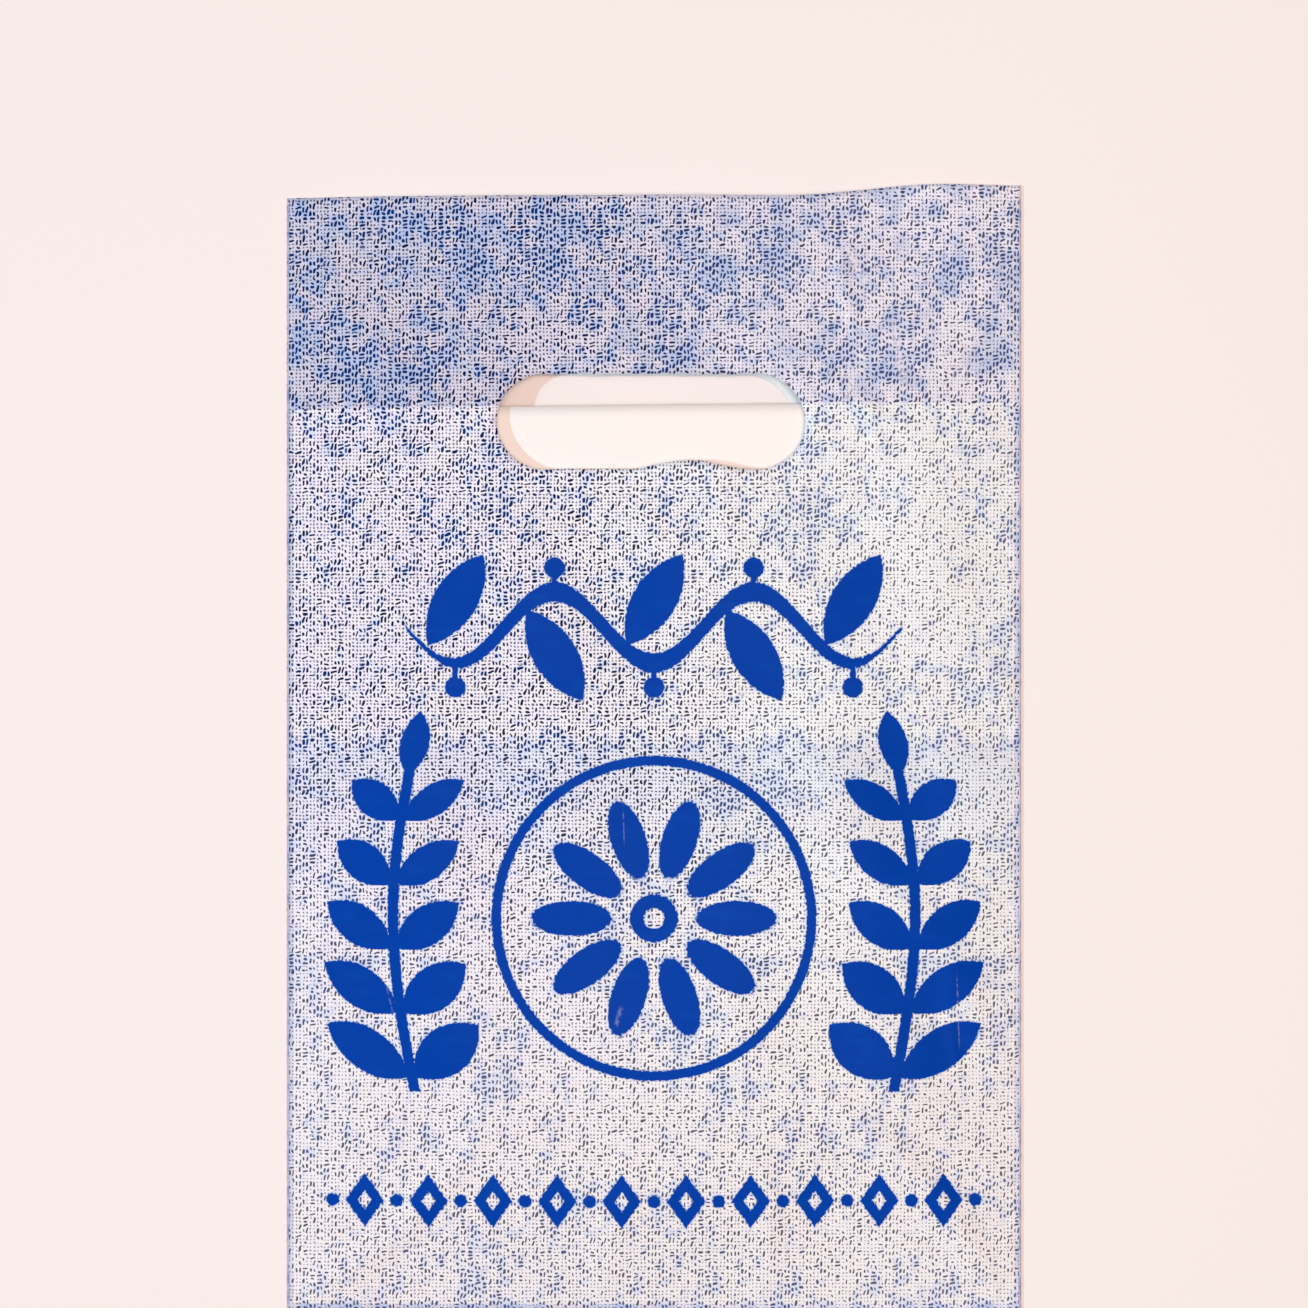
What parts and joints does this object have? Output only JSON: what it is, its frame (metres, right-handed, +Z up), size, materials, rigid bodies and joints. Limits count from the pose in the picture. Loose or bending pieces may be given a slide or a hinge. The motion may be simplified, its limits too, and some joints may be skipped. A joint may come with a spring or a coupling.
{
  "type": "plastic carrier bag",
  "caption": "Flat plastic carrier bag with a die-cut hand hole, welded sides and a folded bottom, lying on its back with a plain white sheet inside.",
  "frame": {"origin": "middle of the bag's box, on the surface that the back panel lies on", "axes": "+X across the bag, to the viewer's right when the front panel is read with the mouth up; +Y along the bag towards its mouth; +Z up, out of the front panel"},
  "size_m": [0.229, 0.356, 0.0113],
  "materials": {
    "printed_film": "thin milky film with a semi-gloss surface, printed in blue on its outer side",
    "white_paper": "uncoated matte white paper"
  },
  "bodies": {
    "root": {"bag_film": "printed_film", "insert_sheet": "white_paper"}
  },
  "joints": []
}
